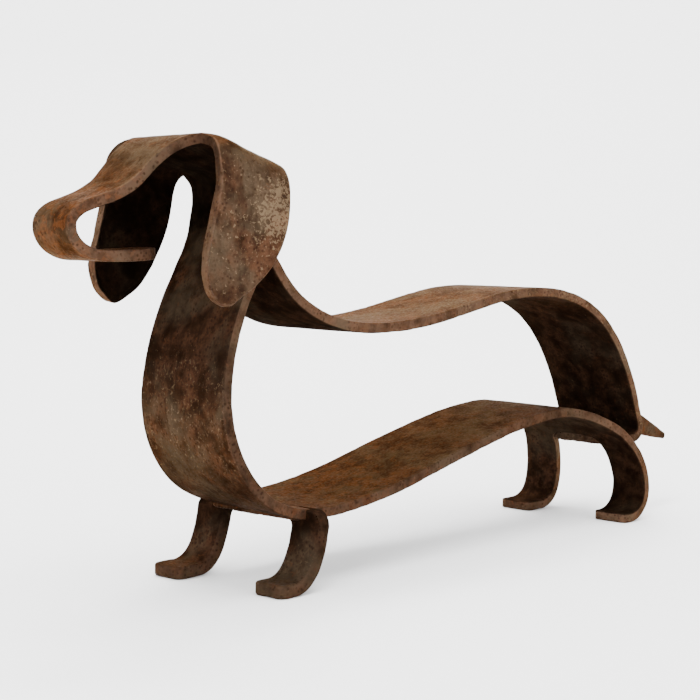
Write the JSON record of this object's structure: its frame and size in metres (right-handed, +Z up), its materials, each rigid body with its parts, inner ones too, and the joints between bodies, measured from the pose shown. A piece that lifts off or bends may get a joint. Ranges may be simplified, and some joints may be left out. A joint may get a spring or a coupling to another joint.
{
  "type": "scrap metal dog sculpture",
  "caption": "Long low dachshund figure bent from rusted flat steel bar: looped muzzle, drooping folded ears, open body between belly and back bars, short turned-out feet and a pointed tail.",
  "frame": {"origin": "centre of the bounding box in plan, on the surface that the feet stand on", "axes": "+X from nose to tail, +Y across the figure towards its right-hand side, +Z up"},
  "size_m": [0.5464, 0.1156, 0.2573],
  "materials": {
    "body_rust": "mild steel plate under an old mottled rust patina, matt, edges rubbed lighter",
    "back_rust": "mild steel bar under an old dark rust patina, matt",
    "leg_rust": "mild steel plate under dark brown rust, toes rubbed lighter",
    "tail_rust": "mild steel plate under red-brown rust, matt"
  },
  "bodies": {
    "root": {"body_plate": "body_rust", "back_bar": "back_rust", "front_legs": "leg_rust", "tail": "tail_rust"}
  },
  "joints": []
}
